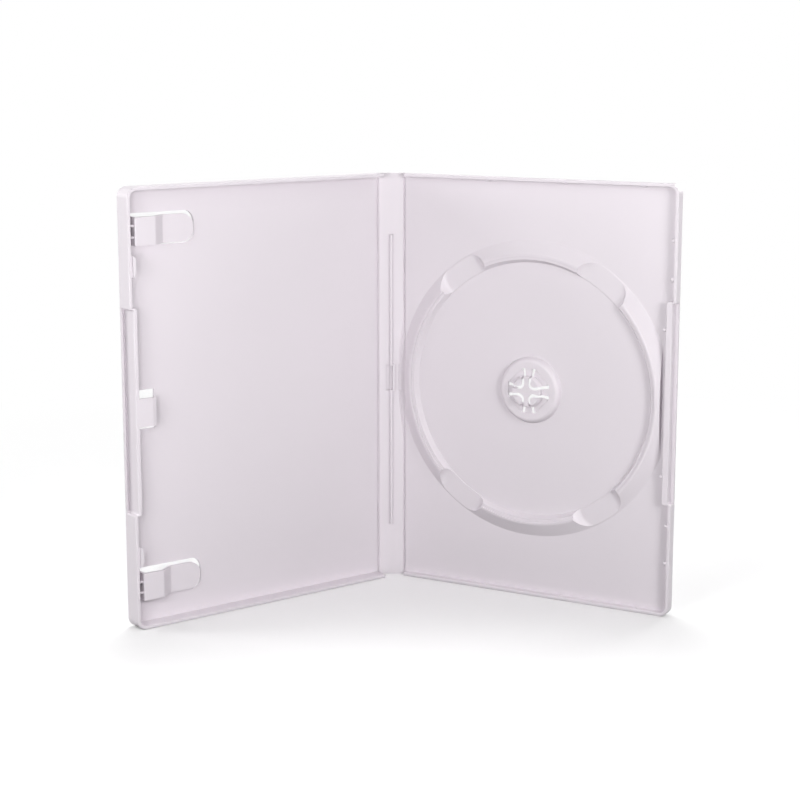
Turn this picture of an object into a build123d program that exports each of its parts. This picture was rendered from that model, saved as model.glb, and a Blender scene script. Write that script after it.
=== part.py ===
from build123d import *
import os
from math import atan2, cos, radians, sin, sqrt, tan

# A single-disc game case of one white moulding, standing open on its lower edges.
# The case is drawn lying open flat, as it leaves its mould: the spine in the middle, the
# front cover on its left, the disc tray on its right, the inside towards -Y and +Z up.
# Cover and tray are then folded in about the two living hinges.

# Closed case
case_height = 190.0
panel_reach = 135.6         # hinge axis to opening edge
hinge_spacing = 12.9        # between the two hinge axes
hinge_depth = 0.25          # hinge axes lie this far inside the outer face
plate = 1.2                 # floor thickness of cover, spine and tray
wall = 1.5                  # thickness of the walls on the free edges
cover_depth = 8.4           # outer face of the cover to its rim
rim_gap = 0.4               # between the two rims when closed
corner_radius = 4.4
rim_chamfer = 0.3
fold_angle = 34.0           # how far each half is folded in from lying flat

# Living hinges
bevel_angle = 43.5          # inner edges are cut back so the halves can close square
web_clearance = 0.1         # hinge bead to panel edge
hinge_corner = 1.2          # cut corners at the ends of the hinges
wall_setback = 1.6          # hinge axis to the start of the walls

# Thumb recess in the opening edge
recess_length = 88.0
recess_depth = 1.65
recess_round = 0.7
cover_recess_wall = 1.9     # the walls are thicker behind the recess
tray_recess_wall = 2.75
recess_block_round = 1.4    # inner corners of the thicker walls
recess_groove = 1.0         # groove along the foot of the cover's recess
recess_groove_depth = 0.7

# Booklet clips on the cover
clip_edge_distance = 18.5   # clip centre to the top or bottom edge
clip_width = 12.0
clip_setback = 4.2          # clip root to the opening edge
clip_height = 7.0           # top of the arch above the outer face
clip_arch = 10.0            # length of the arch along the cover
clip_slope = 5.5            # from the arch down to the tongue
clip_bend = 1.8
clip_reach = 30.8           # root to the tip of the tongue
clip_leaf = 1.2
clip_lift = 0.6             # tongue clear of the cover's inner face
clip_tip_radius = 5.7
clip_round = 0.45
clip_hole_margin = 0.9      # moulding hole is larger than the clip by this much
clip_hole_shift = 0.3       # and lies this much higher
clip_hole_tip = 1.2         # from the clip's tip to the end of the hole
clip_hole_radius = 4.8
clip_root_overlap = 0.6
clip_rib = 0.9
clip_rib_drop = 0.7         # ribs end this far below the top of the arch
clip_rib_spacing = 4.8

# Latch tab and locating tabs on the cover
latch_width = 12.2
latch_reach = 8.2
latch_thickness = 1.2
latch_lip = 1.7             # sloped end of the tab
latch_lip_drop = 0.5
latch_hole_width = 17.0
latch_hole_reach = 10.9
latch_hole_margin = 0.4     # hole edge to the foot of the recessed wall
locator_offset = 62.3       # from the middle of the opening edge
locator_length = 9.6
locator_slant = 2.2         # its ends slope in by this much
locator_thickness = 1.3
locator_rise = 1.2          # above the rim
locator_root = 3.2          # below the rim
locator_clearance = 0.15    # to the inside of the tray's wall

# Disc seat on the tray
disc_radius = 60.0
disc_clearance = 0.6
disc_hole_radius = 7.5
disc_reach = 66.0           # hinge axis to the disc's centre
ledge_width = 1.5
ledge_rise = 2.5            # above the tray's floor
crest_rise = 3.2
crest_land = 1.0
crest_round = 1.8
bank_inner_run = 1.5
bank_slope_run = 5.8
bank_foot_round = 0.8       # hollow curve from the slope to the tray's floor
bank_shell = 1.2            # thickness left over the hollow behind the bank
bank_hinge_clearance = 1.3
latch_slot = 2.4            # gap between the bank and the recessed wall
scoop_angle = 55.5          # finger scoops, up and down from the disc's level axis
scoop_radius = 13.3
scoop_round = 4.6           # hollow curve from a scoop's floor to its edge
scoop_sill = 0.3            # a scoop's floor above the tray's floor
scoop_margin = 15.0         # degrees from a scoop to the hollows behind the bank

# Disc hub
seat_rise = 2.6             # above the tray's floor
seat_radius = 14.0
seat_foot = 1.2             # the foot is wider than the seat by this much
seat_round = 2.0
seat_wall = 1.3
arm_reach = 10.0            # hub centre to the roots of the spring arms
arm_root_width = 3.5
arm_waist_width = 0.6
arm_corner_radius = 3.0
hub_slot = 1.4
hub_leaf = 0.9
root_clearance = 0.06       # hairline at the spring roots
button_radius = 6.9
button_rise = 2.7
finger_waist = 0.3          # gripping face leans in by this much at its foot
finger_lip = 0.05           # lip larger than the disc's hole by this much
finger_lip_rise = 1.4
finger_rise = 2.9
finger_crown = 1.0

# Snap pips round the inside of the tray's wall
pip_length = 1.9
pip_width = 1.5
pip_rise = 0.5
pip_taper = 38.0
pip_below_rim = 1.15        # rim to the middle of a pip
pip_heights = (32.4, 54.3, 70.0)    # up and down from the middle of the opening edge
pip_reaches = (44.5, 82.0, 119.5)   # hinge axis to each pip on the long walls

# Inside of the spine
rib_width = 1.3
rib_rise = 1.5
rib_length = 137.5
rib_drop = 1.7              # rib's middle below the case's middle
rib_taper = 8.0
jog_length = 13.0           # half way up, the rib steps aside
jog_shift = 1.1             # towards the tray
jog_overlap = 1.0
pocket_length = 12.2        # shallow pockets on both sides of the step
pocket_depth = 0.95
cover_pocket_width = 2.1
cover_pocket_reach = 1.5    # spine centre to the pocket's centre
tray_pocket_width = 1.7
tray_pocket_reach = 4.2
crescent_width = 3.2
crescent_length = 64.0
crescent_depth = 0.9
crescent_taper = 55.0

# Clear film sleeve on the outside
film = 0.13
film_side_margin = 2.0      # film edge to the opening edge
film_end_margin = 1.5       # film edge to the lower edge
film_hinge_margin = 1.0
film_notch_radius = 11.0    # thumb notch in the open upper edge
film_notch_sink = 4.0       # how far the notch's centre lies above that edge
film_weld = 0.1             # welded seams stand this far out of the film
film_weld_width = 1.6

# Sizes that follow from the ones above
half_spacing = hinge_spacing / 2
middle = case_height / 2
tray_depth = hinge_spacing + 2 * hinge_depth - cover_depth - rim_gap
pocket_radius = disc_radius + disc_clearance
ledge_radius = pocket_radius - ledge_width
bank_foot_radius = ledge_radius - bank_inner_run
crest_radius = pocket_radius + crest_land
slope_foot_radius = crest_radius + bank_slope_run
seat = plate + seat_rise
recess_face = panel_reach - recess_depth
slot_edge = recess_face - tray_recess_wall - latch_slot
clip_root = panel_reach - clip_setback
outer_face = Plane.XZ.offset(-hinge_depth)
hub_face = Plane((half_spacing + disc_reach, hinge_depth, middle), (1, 0, 0), (0, -1, 0))
bevel_run = (plate - hinge_depth) / tan(radians(bevel_angle))
panel_edge = hinge_depth + web_clearance


def along(side, reach):
    """X of a place on a half: side -1 is the cover, 1 the tray, reach from the hinge axis."""
    return side * (half_spacing + reach)


def section(side, *points):
    """Level section points, given as reach from the hinge axis and height above the outer face."""
    return [(along(side, reach), hinge_depth - height) for reach, height in points]


def end_of(shapes, side):
    """The shapes at the opening edge of a half."""
    return shapes.group_by(Axis.X)[-1 if side > 0 else 0]


def hinge_end_of(shapes, side):
    """The shapes at the hinge edge of a half."""
    return shapes.group_by(Axis.X)[0 if side > 0 else -1]


def inside_outline(side, recess_wall):
    """The outline of the space between the walls, which are thicker behind the recess."""
    block_length = recess_length + wall
    with BuildSketch() as inside:
        with Locations((along(side, 0), middle)):
            Rectangle(2 * (panel_reach - wall), case_height - 2 * wall)
        fillet(end_of(inside.vertices(), side), corner_radius - wall)
        with Locations((along(side, panel_reach), middle)):
            Rectangle(2 * (recess_depth + recess_wall), block_length, mode=Mode.SUBTRACT)
        block_corners = inside.vertices().filter_by(lambda v: abs(abs(v.Y - middle) - block_length / 2) < wall)
        fillet(hinge_end_of(block_corners, side), recess_block_round)
    return inside.sketch


def panel_shell(side, depth, recess_wall):
    """The floor and the three walls that cover and tray have in common."""
    with BuildPart() as shell:
        with BuildSketch(outer_face) as floor:
            with Locations((along(side, panel_reach / 2), middle)):
                Rectangle(panel_reach, case_height)
            chamfer(hinge_end_of(floor.vertices(), side), hinge_corner)
            fillet(end_of(floor.vertices(), side), corner_radius)
        extrude(amount=plate)
        with BuildSketch(outer_face.offset(plate)) as rim:
            with Locations((along(side, 0), middle)):
                Rectangle(2 * panel_reach, case_height)
            fillet(end_of(rim.vertices(), side), corner_radius)
            with Locations((along(side, panel_reach), middle)):
                Rectangle(2 * recess_depth, recess_length, mode=Mode.SUBTRACT)
            recess_corners = rim.vertices().filter_by(lambda v: abs(v.Y - middle) < recess_length / 2 + wall)
            fillet(recess_corners, min(recess_round, 0.45 * recess_depth))
            add(inside_outline(side, recess_wall), mode=Mode.SUBTRACT)
            with Locations((along(side, wall_setback - panel_reach), middle)):
                Rectangle(2 * panel_reach, 2 * case_height, mode=Mode.SUBTRACT)
        extrude(amount=depth - plate)
        with BuildSketch(Plane.XY) as hinge_cut:
            bevel_top = plate + panel_edge
            Polygon(
                *section(
                    side,
                    (-1, -1),
                    (panel_edge, -1),
                    (panel_edge, hinge_depth + panel_edge * tan(radians(bevel_angle))),
                    ((bevel_top - hinge_depth) / tan(radians(bevel_angle)), bevel_top),
                    (-1, bevel_top),
                ),
                align=None,
            )
        extrude(amount=case_height, mode=Mode.SUBTRACT)
        chamfer(shell.edges().group_by(Axis.Y)[0], rim_chamfer)
    return shell.part


def booklet_clip(height):
    """A sprung leaf: an arch that stands on the cover and a tongue with a rounded tip."""
    tip = clip_root - clip_reach
    arch_end = clip_root - clip_arch
    slope_end = arch_end - clip_slope
    tongue = plate + clip_lift
    drop = clip_height - tongue - clip_leaf
    inset = clip_leaf * tan(atan2(drop, clip_slope) / 2)
    arch_middle = along(-1, (arch_end + clip_root) / 2)
    tongue_middle = along(-1, (slope_end + tip) / 2)
    with BuildPart() as clip:
        with BuildSketch(Plane.XY.offset(height - clip_width / 2)) as leaf:
            Polygon(
                *section(
                    -1,
                    (clip_root, plate / 2),
                    (clip_root, clip_height),
                    (arch_end, clip_height),
                    (slope_end, tongue + clip_leaf),
                    (tip, tongue + clip_leaf),
                    (tip, tongue),
                    (slope_end + inset, tongue),
                    (arch_end + inset, clip_height - clip_leaf),
                    (clip_root - clip_leaf, clip_height - clip_leaf),
                    (clip_root - clip_leaf, plate / 2),
                ),
                align=None,
            )
            fillet(leaf.vertices().filter_by(lambda v: not arch_middle < v.X < tongue_middle), clip_round)
            fillet(leaf.vertices().filter_by(lambda v: arch_middle < v.X < tongue_middle), clip_bend)
        extrude(amount=clip_width)
        with BuildSketch(outer_face) as plan:
            with Locations((along(-1, clip_root - clip_reach / 2), height)):
                Rectangle(clip_reach, clip_width)
            fillet(hinge_end_of(plan.vertices(), -1), clip_tip_radius)
        extrude(amount=cover_depth, mode=Mode.INTERSECT)
    return clip.part


def locating_tab(height):
    """A tab on the inside of the cover's wall that stands above the rim and slopes in at both ends."""
    inside = panel_reach - wall
    face = inside - locator_clearance
    tip = face - locator_thickness
    with BuildPart() as tab:
        with BuildSketch(Plane.XY.offset(height - locator_length / 2)):
            Polygon(
                *section(
                    -1,
                    (inside + wall / 2, cover_depth - locator_root),
                    (inside + wall / 2, cover_depth - rim_chamfer),
                    (face, cover_depth),
                    (face, cover_depth + locator_rise - rim_chamfer),
                    (face - rim_chamfer, cover_depth + locator_rise),
                    (tip, cover_depth + locator_rise),
                    (tip, cover_depth - locator_root + locator_thickness),
                ),
                align=None,
            )
        extrude(amount=locator_length)
        with BuildSketch(outer_face) as plan:
            with Locations((along(-1, (tip + inside + wall / 2) / 2), height)):
                Rectangle(inside + wall / 2 - tip, locator_length)
            chamfer(hinge_end_of(plan.vertices(), -1), locator_thickness, locator_slant)
        extrude(amount=cover_depth + locator_rise, mode=Mode.INTERSECT)
    return tab.part


def disc_bank():
    """The raised bank round the disc, with its ledge, four finger scoops and straight trims."""
    with BuildPart() as bank:
        with BuildSketch(Plane.XY.offset(middle)) as bank_section:
            centre = half_spacing + disc_reach
            profile = (
                (bank_foot_radius, plate / 2),
                (bank_foot_radius, plate),
                (ledge_radius, plate + ledge_rise),
                (pocket_radius, plate + ledge_rise),
                (pocket_radius, plate + crest_rise),
                (crest_radius, plate + crest_rise),
                (slope_foot_radius, plate),
                (slope_foot_radius + bank_slope_run, plate),
                (slope_foot_radius + bank_slope_run, plate / 2),
            )
            Polygon(*[(centre + radius, hinge_depth - height) for radius, height in profile], align=None)
            crest = bank_section.vertices().group_by(Axis.Y)[0].sort_by(Axis.X)[-1]
            fillet(crest, crest_round)
            slope_foot = (centre + slope_foot_radius, hinge_depth - plate)
            fillet(bank_section.vertices().sort_by_distance(slope_foot)[0], bank_foot_round)
        revolve(axis=Axis((centre, 0, middle), (0, 1, 0)))
        with BuildPart(mode=Mode.PRIVATE) as scoop:
            Cylinder(scoop_radius, 2 * scoop_round, align=(Align.CENTER, Align.CENTER, Align.MIN))
            fillet(scoop.edges().group_by(Axis.Z)[0], scoop_round)
        for angle in (scoop_angle, -scoop_angle):
            with Locations(hub_face.offset(plate + scoop_sill)):
                with PolarLocations(pocket_radius, 2, start_angle=angle):
                    add(scoop.part, mode=Mode.SUBTRACT)
        with BuildSketch(outer_face):
            with Locations((along(1, (bank_hinge_clearance + slot_edge) / 2), middle)):
                Rectangle(slot_edge - bank_hinge_clearance, case_height)
        extrude(amount=tray_depth, mode=Mode.INTERSECT)
    return bank.part


def bank_hollow():
    """The four arc-shaped hollows behind the bank, which keep its thickness even."""
    slope = bank_slope_run / crest_rise
    shift = bank_shell * sqrt(slope**2 + 1)
    profile = (
        (ledge_radius + bank_shell, -film),
        (ledge_radius + bank_shell, plate + ledge_rise - bank_shell),
        (slope_foot_radius - shift - (ledge_rise - bank_shell) * slope, plate + ledge_rise - bank_shell),
        (slope_foot_radius - shift + (plate + film) * slope, -film),
    )
    axis = Axis((half_spacing + disc_reach, 0, middle), (0, -1, 0))
    level_span = 2 * (scoop_angle - scoop_margin)
    upright_span = 180 - 2 * (scoop_angle + scoop_margin)
    with BuildPart() as hollow:
        for start, span in (
            (-level_span / 2, level_span),
            (90 - upright_span / 2, upright_span),
            (180 - level_span / 2, level_span),
            (270 - upright_span / 2, upright_span),
        ):
            turn = radians(start)
            radial = Plane(axis.position, (cos(turn), 0, sin(turn)), (-sin(turn), 0, cos(turn)))
            with BuildSketch(radial):
                Polygon(*[(radius, hinge_depth - height) for radius, height in profile], align=None)
            revolve(axis=axis, revolution_arc=span)
        near = bank_hinge_clearance + bank_shell
        far = slot_edge - bank_shell
        with BuildSketch(outer_face.offset(-film)):
            with Locations((along(1, (near + far) / 2), middle)):
                Rectangle(far - near, case_height)
        extrude(amount=tray_depth, mode=Mode.INTERSECT)
    return hollow.part


def hub_seat():
    """The low round platform that the disc's middle rests on."""
    centre = half_spacing + disc_reach
    with BuildPart() as platform:
        with BuildSketch(Plane.XY.offset(middle)):
            profile = (
                (0, plate / 2),
                (seat_radius + seat_foot, plate / 2),
                (seat_radius + seat_foot, plate),
                (seat_radius, seat),
                (0, seat),
            )
            Polygon(*[(centre + radius, hinge_depth - height) for radius, height in profile], align=None)
        revolve(axis=Axis((centre, 0, middle), (0, 1, 0)))
        fillet(platform.edges().group_by(Axis.Y)[0], seat_round)
    return platform.part


def cross_outline():
    """The hub's push centre and its four spring arms, seen from the front."""
    root = arm_root_width / 2
    waist = arm_waist_width / 2
    with BuildSketch() as cross:
        Polygon(
            (arm_reach, -root),
            (arm_reach, root),
            (waist, waist),
            (root, arm_reach),
            (-root, arm_reach),
            (-waist, waist),
            (-arm_reach, root),
            (-arm_reach, -root),
            (-waist, -waist),
            (-root, -arm_reach),
            (root, -arm_reach),
            (waist, -waist),
            align=None,
        )
        fillet(cross.vertices().filter_by(lambda v: abs(v.X) < root and abs(v.Y) < root), arm_corner_radius)
    return cross.sketch


def hub_opening(clearance):
    """The eight-sided opening that holds the arms and fingers, or the space inside it."""
    reach = arm_reach + clearance
    corner = arm_root_width / 2 + hub_slot + clearance
    with BuildSketch() as opening:
        Polygon(
            (reach, corner),
            (corner, reach),
            (-corner, reach),
            (-reach, corner),
            (-reach, -corner),
            (-corner, -reach),
            (corner, -reach),
            (reach, -corner),
            align=None,
        )
    return opening.sketch


def turned(profile):
    """A hub profile of radius and height above the outer face, turned round the disc's axis."""
    centre = half_spacing + disc_reach
    with BuildPart() as body:
        with BuildSketch(Plane.XY.offset(middle)):
            Polygon(*[(centre + radius, hinge_depth - height) for radius, height in profile], align=None)
        revolve(axis=Axis((centre, 0, middle), (0, 1, 0)))
    return body.part


def hub_finger(across, up):
    """One gripping finger: a leaf in the corner between two arms, raised to a hollow, lipped grip."""
    grip = disc_hole_radius + finger_lip
    top = seat + finger_rise
    shape = turned(
        (
            (0, top - hub_leaf),
            (grip - finger_crown - hub_leaf, top - hub_leaf),
            (grip - finger_waist - hub_leaf, seat - hub_leaf),
            (arm_reach, seat - hub_leaf),
            (arm_reach, seat),
            (grip - finger_waist, seat),
            (grip, seat + finger_lip_rise),
            (grip - finger_crown, top),
            (0, top),
        )
    )
    with BuildPart() as finger:
        with BuildSketch(hub_face.offset(seat - hub_leaf)):
            add(hub_opening(0))
            with BuildSketch(mode=Mode.PRIVATE) as arms:
                add(cross_outline())
                offset(amount=hub_slot)
            add(arms.sketch, mode=Mode.SUBTRACT)
            with Locations((across * arm_reach / 2, up * arm_reach / 2)):
                Rectangle(arm_reach, arm_reach, mode=Mode.INTERSECT)
        extrude(amount=hub_leaf + finger_rise)
        add(shape, mode=Mode.INTERSECT)
    return finger.part


def sleeve_seams(side):
    """The sleeve's seams on one half: down the opening edge and along the lower edge."""
    edge = panel_reach - film_side_margin
    with BuildSketch() as seams:
        with Locations((along(side, edge - film_weld_width / 2), middle)):
            Rectangle(film_weld_width, case_height - 2 * film_end_margin)
        with Locations((along(side, (film_hinge_margin + edge) / 2), film_end_margin + film_weld_width / 2)):
            Rectangle(edge - film_hinge_margin, film_weld_width)
    return seams.sketch


def fold(side, part):
    """A piece of one half, folded in about that half's hinge."""
    return part.rotate(Axis((along(side, 0), 0, 0), (0, 0, 1)), -side * fold_angle)


cover_shell = panel_shell(-1, cover_depth, cover_recess_wall)
clip_heights = (clip_edge_distance, case_height - clip_edge_distance)
clips = [booklet_clip(height) for height in clip_heights]

with BuildPart() as front_cover:
    add(cover_shell)
    # Moulding holes under the clips and the latch tab
    with BuildSketch(outer_face) as holes:
        hole_length = clip_reach + clip_hole_tip - clip_root_overlap
        hole_middle = along(-1, clip_root - clip_root_overlap - hole_length / 2)
        with Locations(*[(hole_middle, height + clip_hole_shift) for height in clip_heights]):
            Rectangle(hole_length, clip_width + 2 * clip_hole_margin)
        fillet(hinge_end_of(holes.vertices(), -1), clip_hole_radius)
        latch_hole_edge = recess_face - cover_recess_wall - latch_hole_margin
        with Locations((along(-1, latch_hole_edge - latch_hole_reach / 2), middle)):
            RectangleRounded(latch_hole_reach, latch_hole_width, clip_round)
    extrude(amount=plate, mode=Mode.SUBTRACT)
    # Groove between the recessed wall and the edge of the cover
    with BuildSketch(outer_face.offset(plate)):
        with Locations((along(-1, recess_face + recess_groove / 2), middle)):
            Rectangle(recess_groove, recess_length - 2 * recess_round)
    extrude(amount=-recess_groove_depth, mode=Mode.SUBTRACT)
    # Booklet clips, each braced to the wall by two ribs
    add(clips)
    with BuildSketch(outer_face.offset(plate / 2)):
        rib_end = panel_reach - wall / 2
        brace_length = rib_end - clip_root + clip_leaf / 2
        with Locations(*[(along(-1, rib_end - brace_length / 2), height) for height in clip_heights]):
            with GridLocations(0, clip_rib_spacing, 1, 2):
                Rectangle(brace_length, clip_rib)
    extrude(amount=clip_height - clip_rib_drop - plate / 2)
    # Latch tab, level with the rim, its free end sloped
    with BuildSketch(Plane.XY.offset(middle - latch_width / 2)):
        latch_root = recess_face - cover_recess_wall
        Polygon(
            *section(
                -1,
                (latch_root + wall / 2, cover_depth - latch_thickness),
                (latch_root + wall / 2, cover_depth),
                (latch_root - latch_reach + latch_lip, cover_depth),
                (latch_root - latch_reach, cover_depth - latch_lip_drop),
                (latch_root - latch_reach, cover_depth - latch_thickness),
            ),
            align=None,
        )
    extrude(amount=latch_width)
    # Two tabs that reach inside the tray's wall when the case is shut
    for height in (middle - locator_offset, middle + locator_offset):
        add(locating_tab(height))

tray_shell = panel_shell(1, tray_depth, tray_recess_wall)
bank = disc_bank()
hollows = bank_hollow()
platform = hub_seat()

with BuildPart() as back_tray:
    add(tray_shell)
    add(bank)
    add(hollows, mode=Mode.SUBTRACT)
    add(platform)
    # Space behind the hub, open at the back, and the opening for its arms and fingers
    with BuildSketch(hub_face):
        Circle(seat_radius - seat_wall)
    extrude(amount=seat - hub_leaf, mode=Mode.SUBTRACT)
    with BuildSketch(hub_face):
        add(hub_opening(root_clearance))
    extrude(amount=seat, mode=Mode.SUBTRACT)
    # Snap pips near the rim
    pip_depth = hinge_depth - tray_depth + pip_below_rim
    for height in pip_heights:
        behind_recess = height < recess_length / 2
        face = recess_face - tray_recess_wall if behind_recess else panel_reach - wall
        for level in (middle - height, middle + height):
            with BuildSketch(Plane((along(1, face), pip_depth, level), (0, 0, 1), (-1, 0, 0))):
                Rectangle(pip_length, pip_width)
            extrude(amount=pip_rise, taper=pip_taper)
    for reach in pip_reaches:
        with BuildSketch(
            Plane((along(1, reach), pip_depth, wall), (1, 0, 0), (0, 0, 1)),
            Plane((along(1, reach), pip_depth, case_height - wall), (1, 0, 0), (0, 0, -1)),
        ):
            Rectangle(pip_length, pip_width)
        extrude(amount=pip_rise, taper=pip_taper)

button_shape = turned(
    (
        (0, seat + button_rise - hub_leaf),
        (button_radius - hub_leaf, seat + button_rise - hub_leaf),
        (button_radius - hub_leaf, seat - hub_leaf),
        (arm_reach, seat - hub_leaf),
        (arm_reach, seat),
        (button_radius, seat),
        (button_radius, seat + button_rise - rim_chamfer),
        (button_radius - rim_chamfer, seat + button_rise),
        (0, seat + button_rise),
    )
)
push_cross = cross_outline()

with BuildPart() as hub_button:
    with BuildSketch(hub_face.offset(seat - hub_leaf)):
        add(push_cross)
    extrude(amount=hub_leaf + button_rise)
    add(button_shape, mode=Mode.INTERSECT)

with BuildPart() as spine:
    with BuildSketch(Plane.XY):
        Polygon(
            (-half_spacing, hinge_depth),
            (half_spacing, hinge_depth),
            (half_spacing, 0),
            (half_spacing - bevel_run, hinge_depth - plate),
            (bevel_run - half_spacing, hinge_depth - plate),
            (-half_spacing, 0),
            align=None,
        )
        with Locations((-half_spacing, 0), (half_spacing, 0)):
            Circle(hinge_depth)
    extrude(amount=case_height)
    inner_face = outer_face.offset(plate)
    # Long rib that steps aside half way up
    with BuildSketch(inner_face):
        with Locations((0, middle - rib_drop)):
            Rectangle(rib_width, rib_length)
        with Locations((0, middle)):
            Rectangle(2 * rib_width, jog_length - 2 * jog_overlap, mode=Mode.SUBTRACT)
        with Locations((jog_shift, middle)):
            Rectangle(rib_width, jog_length)
    extrude(amount=rib_rise, taper=rib_taper)
    # Sloped crescent along the tray's hinge and the two pockets beside the step
    with BuildSketch(inner_face.offset(-crescent_depth)):
        crescent_radius = (crescent_length**2 / 4 + crescent_width**2) / (2 * crescent_width)
        floor_radius = crescent_radius - crescent_depth * tan(radians(crescent_taper))
        with Locations((half_spacing - crescent_width + crescent_radius, middle)):
            Circle(floor_radius)
    extrude(amount=crescent_depth, taper=-crescent_taper, mode=Mode.SUBTRACT)
    with BuildSketch(inner_face):
        with Locations((-cover_pocket_reach, middle)):
            Rectangle(cover_pocket_width, pocket_length)
        with Locations((tray_pocket_reach, middle)):
            Rectangle(tray_pocket_width, pocket_length)
    extrude(amount=-pocket_depth, mode=Mode.SUBTRACT)

film_height = case_height - 2 * film_end_margin

with BuildPart() as sleeve_cover:
    with BuildSketch(outer_face):
        film_reach = panel_reach - film_side_margin - film_hinge_margin
        with Locations((along(-1, film_hinge_margin + film_reach / 2), middle)):
            Rectangle(film_reach, film_height)
            with Locations((0, film_height / 2 + film_notch_sink)):
                Circle(film_notch_radius, mode=Mode.SUBTRACT)
    extrude(amount=-film)
    # Welded seams along the side and the lower edge
    with BuildSketch(outer_face.offset(-film)):
        add(sleeve_seams(-1))
    extrude(amount=-film_weld)

with BuildPart() as sleeve_spine:
    with BuildSketch(outer_face):
        with Locations((0, middle)):
            Rectangle(hinge_spacing - 2 * film_hinge_margin, film_height)
    extrude(amount=-film)
    with BuildSketch(outer_face.offset(-film)):
        with Locations((0, film_end_margin + film_weld_width / 2)):
            Rectangle(hinge_spacing - 2 * film_hinge_margin, film_weld_width)
    extrude(amount=-film_weld)

with BuildPart() as sleeve_tray:
    with BuildSketch(outer_face):
        with Locations((along(1, film_hinge_margin + film_reach / 2), middle)):
            Rectangle(film_reach, film_height)
            with Locations((0, film_height / 2 + film_notch_sink)):
                Circle(film_notch_radius, mode=Mode.SUBTRACT)
    extrude(amount=-film)
    with BuildSketch(outer_face.offset(-film)):
        add(sleeve_seams(1))
    extrude(amount=-film_weld)

pieces = {
    "front_cover": fold(-1, front_cover.part),
    "sleeve_cover": fold(-1, sleeve_cover.part),
    "spine": spine.part,
    "sleeve_spine": sleeve_spine.part,
    "back_tray": fold(1, back_tray.part),
    "sleeve_tray": fold(1, sleeve_tray.part),
    "hub_button": fold(1, hub_button.part),
    "hub_finger_upper_right": fold(1, hub_finger(1, 1)),
    "hub_finger_upper_left": fold(1, hub_finger(-1, 1)),
    "hub_finger_lower_left": fold(1, hub_finger(-1, -1)),
    "hub_finger_lower_right": fold(1, hub_finger(1, -1)),
}

os.makedirs("parts", exist_ok=True)
for name, piece in pieces.items():
    piece.label = name
    export_step(piece, f"parts/{name}.step")
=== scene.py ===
import bpy
from math import cos, radians, sin
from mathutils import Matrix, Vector


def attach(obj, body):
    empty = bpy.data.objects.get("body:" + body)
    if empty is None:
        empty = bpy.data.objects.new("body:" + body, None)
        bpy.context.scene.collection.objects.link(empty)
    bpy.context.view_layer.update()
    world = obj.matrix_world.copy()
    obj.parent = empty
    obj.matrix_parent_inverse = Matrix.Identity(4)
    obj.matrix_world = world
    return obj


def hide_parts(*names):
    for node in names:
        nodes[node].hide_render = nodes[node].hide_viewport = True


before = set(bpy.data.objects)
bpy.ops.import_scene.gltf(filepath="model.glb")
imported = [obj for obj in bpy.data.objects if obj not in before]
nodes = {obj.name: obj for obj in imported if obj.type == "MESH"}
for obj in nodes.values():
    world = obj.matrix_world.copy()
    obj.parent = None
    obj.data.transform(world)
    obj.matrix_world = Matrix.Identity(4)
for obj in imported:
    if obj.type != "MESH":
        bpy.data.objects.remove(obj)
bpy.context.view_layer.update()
print("frame loaded:", len(nodes), "pieces")


def addNode(tree, kind, x, y, **values):
    node = tree.nodes.new(kind)
    node.location = (x, y)
    for name, value in values.items():
        setattr(node, name, value)
    return node


# soft unevenness of moulded and drawn plastic: cloudy tone, fine skin, faint rubbing marks
plasticSkin = {
    "cloudDetail": 3.0,
    "rubTurn": (20, 35, 50),            # degrees
    "rubStretch": (30.0, 260.0, 260.0),
    "rubDetail": 4.0,
    "rubFrom": 0.55,                    # only the peaks of the noise are rubbed
    "rubTo": 0.8,
    "skinDetail": 2.0,
}


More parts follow.
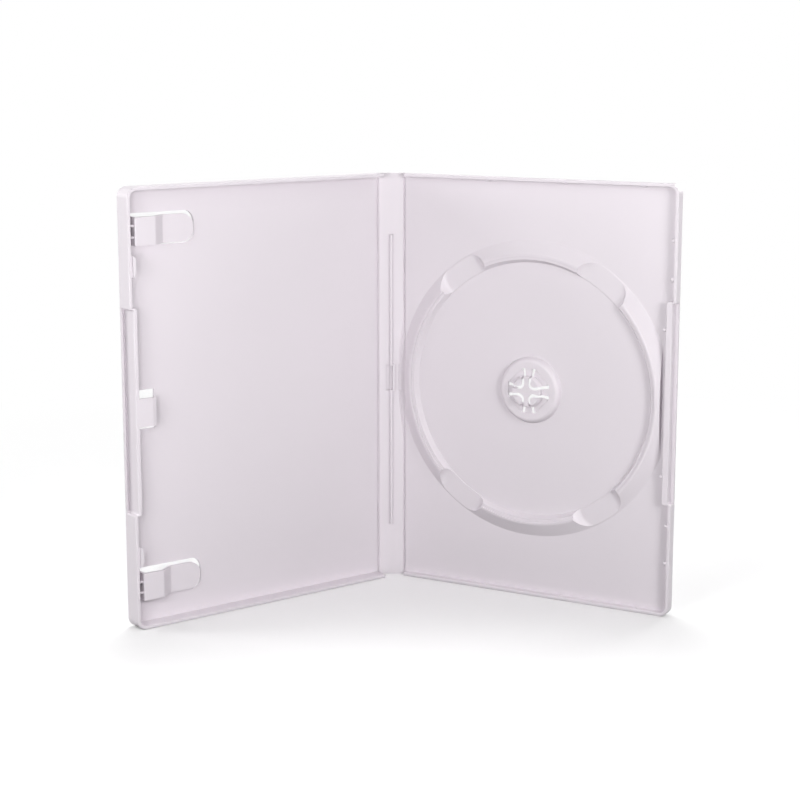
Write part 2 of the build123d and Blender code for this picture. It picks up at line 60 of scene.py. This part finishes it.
def makeSkinGroup(look):
    group = bpy.data.node_groups.new("plasticSkin", "ShaderNodeTree")
    for name in ("Cloud Scale", "Cloud Amount", "Skin Scale", "Rub Amount"):
        group.interface.new_socket(name=name, in_out="INPUT", socket_type="NodeSocketFloat")
    for name in ("Tone", "Rub", "Height"):
        group.interface.new_socket(name=name, in_out="OUTPUT", socket_type="NodeSocketFloat")
    inputs = addNode(group, "NodeGroupInput", -900, 0)
    outputs = addNode(group, "NodeGroupOutput", 700, 0)
    place = addNode(group, "ShaderNodeTexCoord", -900, -260)

    # tone goes a little above and below 1
    cloud = addNode(group, "ShaderNodeTexNoise", -600, 260)
    cloud.inputs["Detail"].default_value = look["cloudDetail"]
    group.links.new(place.outputs["Object"], cloud.inputs["Vector"])
    group.links.new(inputs.outputs["Cloud Scale"], cloud.inputs["Scale"])
    centred = addNode(group, "ShaderNodeMath", -380, 260, operation="SUBTRACT")
    centred.inputs[1].default_value = 0.5
    group.links.new(cloud.outputs["Fac"], centred.inputs[0])
    tone = addNode(group, "ShaderNodeMath", -180, 260, operation="MULTIPLY_ADD")
    tone.inputs[2].default_value = 1.0
    group.links.new(centred.outputs["Value"], tone.inputs[0])
    group.links.new(inputs.outputs["Cloud Amount"], tone.inputs[1])
    group.links.new(tone.outputs["Value"], outputs.inputs["Tone"])

    turn = addNode(group, "ShaderNodeMapping", -680, -60)
    turn.inputs["Rotation"].default_value = [radians(angle) for angle in look["rubTurn"]]
    turn.inputs["Scale"].default_value = look["rubStretch"]
    group.links.new(place.outputs["Object"], turn.inputs["Vector"])
    streak = addNode(group, "ShaderNodeTexNoise", -480, -60)
    streak.inputs["Scale"].default_value = 1.0
    streak.inputs["Detail"].default_value = look["rubDetail"]
    group.links.new(turn.outputs["Vector"], streak.inputs["Vector"])
    peaks = addNode(group, "ShaderNodeMapRange", -260, -60)
    peaks.inputs["From Min"].default_value = look["rubFrom"]
    peaks.inputs["From Max"].default_value = look["rubTo"]
    group.links.new(streak.outputs["Fac"], peaks.inputs["Value"])
    rub = addNode(group, "ShaderNodeMath", -40, -60, operation="MULTIPLY")
    group.links.new(peaks.outputs["Result"], rub.inputs[0])
    group.links.new(inputs.outputs["Rub Amount"], rub.inputs[1])
    group.links.new(rub.outputs["Value"], outputs.inputs["Rub"])

    skin = addNode(group, "ShaderNodeTexNoise", -480, -360)
    skin.inputs["Detail"].default_value = look["skinDetail"]
    group.links.new(place.outputs["Object"], skin.inputs["Vector"])
    group.links.new(inputs.outputs["Skin Scale"], skin.inputs["Scale"])
    group.links.new(skin.outputs["Fac"], outputs.inputs["Height"])
    return group


skinGroup = makeSkinGroup(plasticSkin)

casePlastic = {
    "colour": (0.77, 0.718, 0.764),
    "roughness": 0.4,
    "cloudScale": 18.0,
    "cloudAmount": 0.03,
    "skinScale": 1400.0,
    "rubAmount": 0.05,
    "bumpStrength": 0.05,
    "bumpDistance": 0.0001,
    "paintedShadeReach": 0.012,       # painted shade: corners and slots are darkened in the base colour within this reach
    "paintedShadeTone": 0.85,
    "paintedShadeSamples": 8,
}
clearFilm = {
    "colour": (0.93, 0.94, 0.97),
    "roughness": 0.12,
    "alpha": 0.07,
    "cloudScale": 60.0,
    "cloudAmount": 0.04,
    "skinScale": 120.0,
    "rubAmount": 0.12,
    "bumpStrength": 0.15,
    "bumpDistance": 0.0002,
    "mergeWithin": 0.000001,
    "lift": 0.0001,             # the film lies loose on the plastic
}


def makePlastic(name, look):
    material = bpy.data.materials.new(name)
    material.use_nodes = True
    tree = material.node_tree
    shader = tree.nodes["Principled BSDF"]
    skin = addNode(tree, "ShaderNodeGroup", -700, 0, node_tree=skinGroup)
    skin.inputs["Cloud Scale"].default_value = look["cloudScale"]
    skin.inputs["Cloud Amount"].default_value = look["cloudAmount"]
    skin.inputs["Skin Scale"].default_value = look["skinScale"]
    skin.inputs["Rub Amount"].default_value = look["rubAmount"]
    tint = addNode(tree, "ShaderNodeVectorMath", -420, 160, operation="SCALE")
    tint.inputs[0].default_value = look["colour"]
    tree.links.new(skin.outputs["Tone"], tint.inputs["Scale"])
    colour = tint.outputs["Vector"]
    # painted shade: ambient occlusion darkens the base colour in corners, creases and slots
    if "paintedShadeReach" in look:
        paintedShade = addNode(tree, "ShaderNodeAmbientOcclusion", -700, 340, only_local=True)
        paintedShade.samples = look["paintedShadeSamples"]
        paintedShade.inputs["Distance"].default_value = look["paintedShadeReach"]
        depth = addNode(tree, "ShaderNodeMapRange", -520, 340)
        depth.inputs["To Min"].default_value = look["paintedShadeTone"]
        tree.links.new(paintedShade.outputs["AO"], depth.inputs["Value"])
        shade = addNode(tree, "ShaderNodeVectorMath", -240, 200, operation="SCALE")
        tree.links.new(colour, shade.inputs[0])
        tree.links.new(depth.outputs["Result"], shade.inputs["Scale"])
        colour = shade.outputs["Vector"]
    tree.links.new(colour, shader.inputs["Base Color"])
    rough = addNode(tree, "ShaderNodeMath", -420, -40, operation="ADD")
    rough.inputs[1].default_value = look["roughness"]
    tree.links.new(skin.outputs["Rub"], rough.inputs[0])
    tree.links.new(rough.outputs["Value"], shader.inputs["Roughness"])
    bump = addNode(tree, "ShaderNodeBump", -420, -240)
    bump.inputs["Strength"].default_value = look["bumpStrength"]
    bump.inputs["Distance"].default_value = look["bumpDistance"]
    tree.links.new(skin.outputs["Height"], bump.inputs["Height"])
    tree.links.new(bump.outputs["Normal"], shader.inputs["Normal"])
    if "alpha" in look:
        shader.inputs["Alpha"].default_value = look["alpha"]
    return material


whitePlastic = makePlastic("whitePlastic", casePlastic)
sleeveFilm = makePlastic("sleeveFilm", clearFilm)
for name, node in nodes.items():
    node.data.materials.clear()
    node.data.materials.append(sleeveFilm if name.startswith("sleeve") else whitePlastic)
print("materials set")

caseFold = radians(34)          # each half is folded in by this much from lying flat
coverOutward = Vector((-sin(caseFold), cos(caseFold), 0))
spineOutward = Vector((0, 1, 0))
trayOutward = Vector((sin(caseFold), cos(caseFold), 0))
trayAlong = Vector((cos(caseFold), -sin(caseFold), 0))


# each film is a copy of its solid, moved a little off the plastic
def layFilm(name, node, body, outward):
    bpy.ops.object.select_all(action="DESELECT")
    film = nodes[node].copy()
    film.data = nodes[node].data.copy()
    film.name = name
    bpy.context.collection.objects.link(film)
    bpy.context.view_layer.objects.active = film
    film.select_set(True)
    bpy.ops.object.mode_set(mode="EDIT")
    bpy.ops.mesh.select_all(action="SELECT")
    bpy.ops.mesh.remove_doubles(threshold=clearFilm["mergeWithin"])
    bpy.ops.transform.translate(value=outward * clearFilm["lift"])
    bpy.ops.object.mode_set(mode="OBJECT")
    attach(film, body)
    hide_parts(node)


layFilm("coverFilm", "sleeve_cover", "cover", coverOutward)
layFilm("spineFilm", "sleeve_spine", "spine", spineOutward)
layFilm("trayFilm", "sleeve_tray", "tray", trayOutward)
print("films laid")

# round heads of the snap pips inside the tray's opening edge
snapPips = {
    "radius": 0.0009,
    "sides": 16,
    "length": 0.0021,
    "sunk": 0.0005,                 # starts this far inside the wall
    "round": 0.0006,
    "roundSteps": 3,
    "hinge": (0.00645, 0.0, 0.0),
    "hingeDepth": 0.00025,          # depths are from the tray's outer face
    "depth": 0.00345,
    "wallReach": 0.1341,            # reaches are from the tray's hinge
    "wallHeights": (0.0241, 0.041, 0.1491, 0.166),
    "blockReach": 0.1312,           # the wall is thicker behind the thumb recess
    "blockHeights": (0.0629, 0.1274),
}


def setPip(pip, place, aim, pips):
    pip.location = place + aim * (pips["length"] / 2 - pips["sunk"])
    pip.rotation_euler = aim.to_track_quat("Z", "Y").to_euler()
    pip.select_set(True)


def addSnapPips(pips):
    bpy.ops.object.select_all(action="DESELECT")
    bpy.ops.mesh.primitive_cylinder_add(vertices=pips["sides"], radius=pips["radius"], depth=pips["length"])
    head = bpy.context.object
    bpy.ops.object.mode_set(mode="EDIT")
    bpy.ops.mesh.select_mode(type="FACE")
    bpy.ops.mesh.select_all(action="DESELECT")
    bpy.ops.object.mode_set(mode="OBJECT")
    end = max(head.data.polygons, key=lambda face: face.center.z)
    end.select = True
    bpy.ops.object.mode_set(mode="EDIT")
    bpy.ops.mesh.bevel(offset=pips["round"], segments=pips["roundSteps"], affect="EDGES")
    bpy.ops.object.mode_set(mode="OBJECT")
    bpy.ops.object.shade_smooth()

    up = Vector((0, 0, 1))
    foot = Vector(pips["hinge"]) - trayOutward * (pips["depth"] - pips["hingeDepth"])
    places = [foot + trayAlong * pips["wallReach"] + up * z for z in pips["wallHeights"]]
    places += [foot + trayAlong * pips["blockReach"] + up * z for z in pips["blockHeights"]]
    for place in places[1:]:
        copy = head.copy()
        copy.data = head.data.copy()
        bpy.context.collection.objects.link(copy)
        setPip(copy, place, -trayAlong, pips)
    setPip(head, places[0], -trayAlong, pips)
    bpy.ops.object.transform_apply(location=True, rotation=True, scale=True)
    bpy.ops.object.join()
    head.name = "snapPipHeads"
    return head


pipHeads = addSnapPips(snapPips)
pipHeads.data.materials.append(whitePlastic)
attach(pipHeads, "tray")
print("pips set")

studio = {
    "floorSize": 8.0,
    "floorColour": (0.9, 0.9, 0.9),     # as the camera sees it
    "floorBounce": (0.08, 0.08, 0.08),  # as the light sees it
    "floorLift": 0.06,
    "fadeFrom": 0.24,                   # the floor turns plain white between these two reaches
    "fadeTo": 0.5,
    "ambient": 0.01,
    "softboxes": {
        "frontLeftBox": {"place": (-0.5, -1.1, 0.15), "size": 0.3, "power": 1.0},
        "frontMidBox": {"place": (-0.25, -1.1, 0.15), "size": 0.15, "power": 0.75},
        "frontRightBox": {"place": (0.5, -1.1, 0.15), "size": 0.3, "power": 1.23},
        "nearLeftBox": {"place": (-0.3, -0.5, 0.25), "size": 0.2, "power": 0.55},
        "nearRightBox": {"place": (0.3, -0.5, 0.25), "size": 0.2, "power": 1.32},
        "closeBox": {"place": (-0.12, -0.35, 0.16), "size": 0.1, "power": 0.3},
        "topLeftBox": {"place": (-0.6, -0.2, 0.8), "size": 0.5, "power": 0.95},
        "topRightBox": {"place": (0.6, -0.2, 0.8), "size": 0.5, "power": 0.75},
        "edgeLeftBox": {"place": (-1.1, 0.1, 0.4), "size": 0.6, "power": 5.3},
        "edgeRightBox": {"place": (1.1, 0.1, 0.4), "size": 0.6, "power": 1.8},
        "topBox": {"place": (0.0, 0.4, 0.9), "size": 0.6, "power": 4.4},
        "backLeftBox": {"place": (-0.8, 0.8, 0.5), "size": 0.6, "power": 2.0},
        "backRightBox": {"place": (0.8, 0.8, 0.5), "size": 0.6, "power": 5.5},
    },
    "aim": (0.0, -0.04, 0.095),
}


# 1 for what is seen straight, in gloss or through clear pieces
def addSeenMask(tree, x, y):
    rays = addNode(tree, "ShaderNodeLightPath", x, y)
    direct = addNode(tree, "ShaderNodeMath", x + 180, y, operation="MAXIMUM")
    tree.links.new(rays.outputs["Is Camera Ray"], direct.inputs[0])
    tree.links.new(rays.outputs["Is Transmission Ray"], direct.inputs[1])
    mask = addNode(tree, "ShaderNodeMath", x + 360, y, operation="MAXIMUM")
    tree.links.new(direct.outputs["Value"], mask.inputs[0])
    tree.links.new(rays.outputs["Is Glossy Ray"], mask.inputs[1])
    return mask.outputs["Value"]


def makeFloorPaint(look):
    material = bpy.data.materials.new("floorPaint")
    material.use_nodes = True
    tree = material.node_tree
    tree.nodes.remove(tree.nodes["Principled BSDF"])
    paint = addNode(tree, "ShaderNodeBsdfDiffuse", -400, 200)
    paint.inputs["Color"].default_value = (*look["floorColour"], 1)
    glow = addNode(tree, "ShaderNodeEmission", -400, 60)
    glow.inputs["Strength"].default_value = look["floorLift"]
    lit = addNode(tree, "ShaderNodeAddShader", -200, 140)
    tree.links.new(paint.outputs["BSDF"], lit.inputs[0])
    tree.links.new(glow.outputs["Emission"], lit.inputs[1])

    # away from the case the floor is plain white
    place = addNode(tree, "ShaderNodeTexCoord", -800, -60)
    reach = addNode(tree, "ShaderNodeVectorMath", -620, -60, operation="LENGTH")
    tree.links.new(place.outputs["Object"], reach.inputs[0])
    fade = addNode(tree, "ShaderNodeMapRange", -440, -60, interpolation_type="SMOOTHSTEP")
    fade.inputs["From Min"].default_value = look["fadeFrom"]
    fade.inputs["From Max"].default_value = look["fadeTo"]
    tree.links.new(reach.outputs["Value"], fade.inputs["Value"])
    plain = addNode(tree, "ShaderNodeEmission", -200, -60)
    seenFloor = addNode(tree, "ShaderNodeMixShader", 0, 100)
    tree.links.new(fade.outputs["Result"], seenFloor.inputs["Fac"])
    tree.links.new(lit.outputs["Shader"], seenFloor.inputs[1])
    tree.links.new(plain.outputs["Emission"], seenFloor.inputs[2])

    dull = addNode(tree, "ShaderNodeBsdfDiffuse", 0, -60)
    dull.inputs["Color"].default_value = (*look["floorBounce"], 1)
    pick = addNode(tree, "ShaderNodeMixShader", 200, 40)
    tree.links.new(addSeenMask(tree, -400, -260), pick.inputs["Fac"])
    tree.links.new(dull.outputs["BSDF"], pick.inputs[1])
    tree.links.new(seenFloor.outputs["Shader"], pick.inputs[2])
    tree.links.new(pick.outputs["Shader"], tree.nodes["Material Output"].inputs["Surface"])
    return material


# white where it is seen, nearly dark as a light
def makeWorld(look):
    world = bpy.data.worlds.new("studioWorld")
    world.use_nodes = True
    tree = world.node_tree
    soft = tree.nodes["Background"]
    soft.inputs["Color"].default_value = (1, 1, 1, 1)
    soft.inputs["Strength"].default_value = look["ambient"]
    white = addNode(tree, "ShaderNodeBackground", 0, -160)
    white.inputs["Color"].default_value = (1, 1, 1, 1)
    pick = addNode(tree, "ShaderNodeMixShader", 200, 0)
    tree.links.new(addSeenMask(tree, -400, 160), pick.inputs["Fac"])
    tree.links.new(soft.outputs["Background"], pick.inputs[1])
    tree.links.new(white.outputs["Background"], pick.inputs[2])
    tree.links.new(pick.outputs["Shader"], tree.nodes["World Output"].inputs["Surface"])
    return world


bpy.ops.object.select_all(action="DESELECT")
bpy.ops.mesh.primitive_plane_add(size=studio["floorSize"], location=(0, 0, 0))
floor = bpy.context.object
floor.name = "studioFloor"
floor.data.materials.append(makeFloorPaint(studio))
bpy.context.scene.world = makeWorld(studio)

for name, box in studio["softboxes"].items():
    bpy.ops.object.light_add(type="AREA", location=box["place"])
    lamp = bpy.context.object
    lamp.name = name
    lamp.data.shape = "DISK"
    lamp.data.size = box["size"]
    lamp.data.energy = box["power"]
    towards = Vector(studio["aim"]) - lamp.location
    lamp.rotation_euler = towards.to_track_quat("-Z", "Y").to_euler()
bpy.context.scene.view_settings.view_transform = "Standard"
print("studio set")

photoCamera = {
    "place": (-0.05715, -0.86079, 0.24814),
    "turn": (79.229, 0.0, -4.074),      # degrees
    "lens": 84.30,
    "sensor": 36.0,
    "clipStart": 0.01,
}
turn = [radians(angle) for angle in photoCamera["turn"]]
bpy.ops.object.camera_add(location=photoCamera["place"], rotation=turn)
camera = bpy.context.object
camera.name = "photoCamera"
camera.data.lens = photoCamera["lens"]
camera.data.sensor_width = photoCamera["sensor"]
camera.data.clip_start = photoCamera["clipStart"]
bpy.context.scene.camera = camera
print("camera set")
